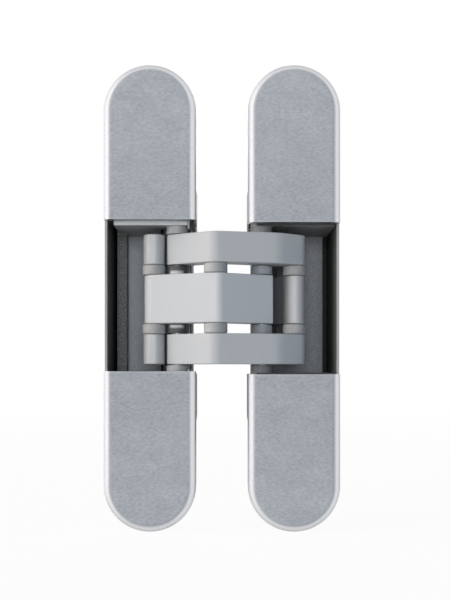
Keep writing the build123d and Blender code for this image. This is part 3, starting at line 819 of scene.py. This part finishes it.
acetal = toned_finish("pale_acetal", ACETAL_CLOUD_SCALE, WASHER_SHADE, WASHER_PALE, ACETAL_BUMP,
                      roughness=0.55, specular=0.4)
for name, body, pin in (("centre_washers", "outer_arms", "centre_pin"),
                        ("door_link_washers", "outer_arms", "door_link_pin"),
                        ("frame_link_washers", "centre_arm", "frame_link_pin")):
    low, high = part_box(name)
    radius, bore = (high.x - low.x) / 2, pin_radius(pin) + RUNNING_PLAY
    end_radius = radius - WASHER_RIM
    rings = []
    for foot, top in ((high.z - WASHER_HEIGHT, high.z), (low.z, low.z + WASHER_HEIGHT)):
        profile = [(bore, foot), (end_radius, foot), (radius, foot + WASHER_RIM),
                   (radius, top - WASHER_RIM), (end_radius, top), (bore, top), (bore, foot)]
        rings.append(turned_piece(profile, pin_axis(name)))
    points, quads = join_surfaces(*rings)
    make_piece(name + "_rings", points, quads, [acetal], body, name)

# Floor: a plain pale ground that the hinge stands on.
# It is white to the camera and to mirror-like surfaces, and near the hinge it keeps a faint shadow.
FLOOR_REACH = 3.0
FLOOR_MATT = (0.82, 0.82, 0.82, 1)
WHITE = (1, 1, 1, 1)
FLOOR_FADE = (0.15, 0.9)
FLOOR_GLOW = (0.95, 1.0)


def seen_ray(tree):
    """1 for rays from the camera or off a mirror-like or clear surface, which show the plain white ground."""
    rays = add_node(tree, "LightPath", {}).outputs
    inputs = {0: rays["Is Camera Ray"], 1: rays["Is Glossy Ray"]}
    seen = add_node(tree, "Math", inputs, operation="MAXIMUM").outputs[0]
    return add_node(tree, "Math", {0: seen, 1: rays["Is Transmission Ray"]}, operation="MAXIMUM").outputs[0]


floor_corners = [(x * FLOOR_REACH, y * FLOOR_REACH, cad_box[0].z)
                 for x, y in ((-1, -1), (1, -1), (1, 1), (-1, 1))]
floor_mesh = bpy.data.meshes.new("floor")
floor_mesh.from_pydata(floor_corners, [], [(0, 1, 2, 3)])
floor = bpy.data.objects.new("floor", floor_mesh)
bpy.context.scene.collection.objects.link(floor)

floor_white = bpy.data.materials.new("floor_white")
floor_white.use_nodes = True
tree = floor_white.node_tree
tree.nodes.clear()
place = add_node(tree, "TexCoord", {}).outputs["Object"]
away = add_node(tree, "VectorMath", {0: place}, operation="LENGTH").outputs["Value"]
seen = both(tree, seen_ray(tree), span(tree, away, *FLOOR_FADE, *FLOOR_GLOW))
matt = add_node(tree, "BsdfDiffuse", {"Color": FLOOR_MATT}).outputs[0]
glow = add_node(tree, "Emission", {"Color": WHITE, "Strength": 1.0}).outputs[0]
surface = add_node(tree, "MixShader", {0: seen, 1: matt, 2: glow}).outputs[0]
add_node(tree, "OutputMaterial", {"Surface": surface})
floor_mesh.materials.append(floor_white)

# Studio: a plain white surround, as the camera and mirror-like surfaces see it.
# Matt surfaces are lit by a wide soft window on the left, a dim bluish sky on the right, a weak grey
# all round, and two soft lamps, one in front of the hinge and one behind.
SURROUND = (0.10, 0.10, 0.10, 1)
SKY_RIGHT = (0.05, 0.17, 0.36, 1)
SKY_EDGE = (0.1, 0.8)
WINDOW_LIGHT = (7.0, 6.6, 6.3, 1)
WINDOW_TOWARD = (-0.962, -0.23, 0.14)
WINDOW_EDGE = (0.78, 0.93)
HINGE_MIDDLE = Vector((HINGE_MIDDLE_X, 0.0, 0.0))

studio = bpy.data.worlds.new("studio")
bpy.context.scene.world = studio
studio.use_nodes = True
tree = studio.node_tree
tree.nodes.clear()
toward = add_node(tree, "TexCoord", {}).outputs["Generated"]
across = add_node(tree, "SeparateXYZ", {"Vector": toward}).outputs["X"]
tint = blend_colours(tree, span(tree, across, *SKY_EDGE), SURROUND, SKY_RIGHT)
facing = add_node(tree, "VectorMath", {0: toward, 1: WINDOW_TOWARD}, operation="DOT_PRODUCT").outputs["Value"]
tint = blend_colours(tree, span(tree, facing, *WINDOW_EDGE), tint, WINDOW_LIGHT)
soft = add_node(tree, "Background", {"Color": tint, "Strength": 1.0}).outputs[0]
white = add_node(tree, "Background", {"Color": WHITE, "Strength": 1.0}).outputs[0]
surface = add_node(tree, "MixShader", {0: seen_ray(tree), 1: soft, 2: white}).outputs[0]
add_node(tree, "OutputWorld", {"Surface": surface})


def soft_lamp(name, place, level, width, colour):
    """A square lamp turned to the hinge; at level 1 a surface facing it renders as its own colour."""
    lamp = bpy.data.lights.new(name, "AREA")
    holder = bpy.data.objects.new(name, lamp)
    holder.location = place
    ray = HINGE_MIDDLE - holder.location
    holder.rotation_euler = ray.to_track_quat("-Z", "Y").to_euler()
    lamp.shape = "SQUARE"
    lamp.size = width
    lamp.color = colour
    lamp.energy = level * math.pi ** 2 * ray.length_squared
    bpy.context.scene.collection.objects.link(holder)


soft_lamp("front", place=(0.017, -0.85, 0.06), level=0.28, width=0.32, colour=(0.93, 0.985, 1.02))
soft_lamp("back", place=(0.017, 0.85, 0.35), level=0.35, width=0.5, colour=(1, 1, 1))

# Camera: square on to the covers, level with a point a little below the hinge's middle.
# It stands so near to the cover faces that the pockets' floors look smaller than their mouths.
CAMERA_DISTANCE = 0.2
CAMERA_Z = -0.01702
view_from = bpy.data.cameras.new("photo_view")
view_from.sensor_width = 36.0
view_from.lens = 50.73
view_from.shift_x = 0.005
view_from.shift_y = 0.1167
view_from.clip_start = 0.01
camera = bpy.data.objects.new("photo_view", view_from)
camera.location = (HINGE_MIDDLE_X, COVER_FACE_Y - CAMERA_DISTANCE, CAMERA_Z)
camera.rotation_euler = (math.radians(90), 0, 0)
bpy.context.scene.collection.objects.link(camera)
bpy.context.scene.camera = camera
bpy.context.scene.view_settings.view_transform = "Standard"
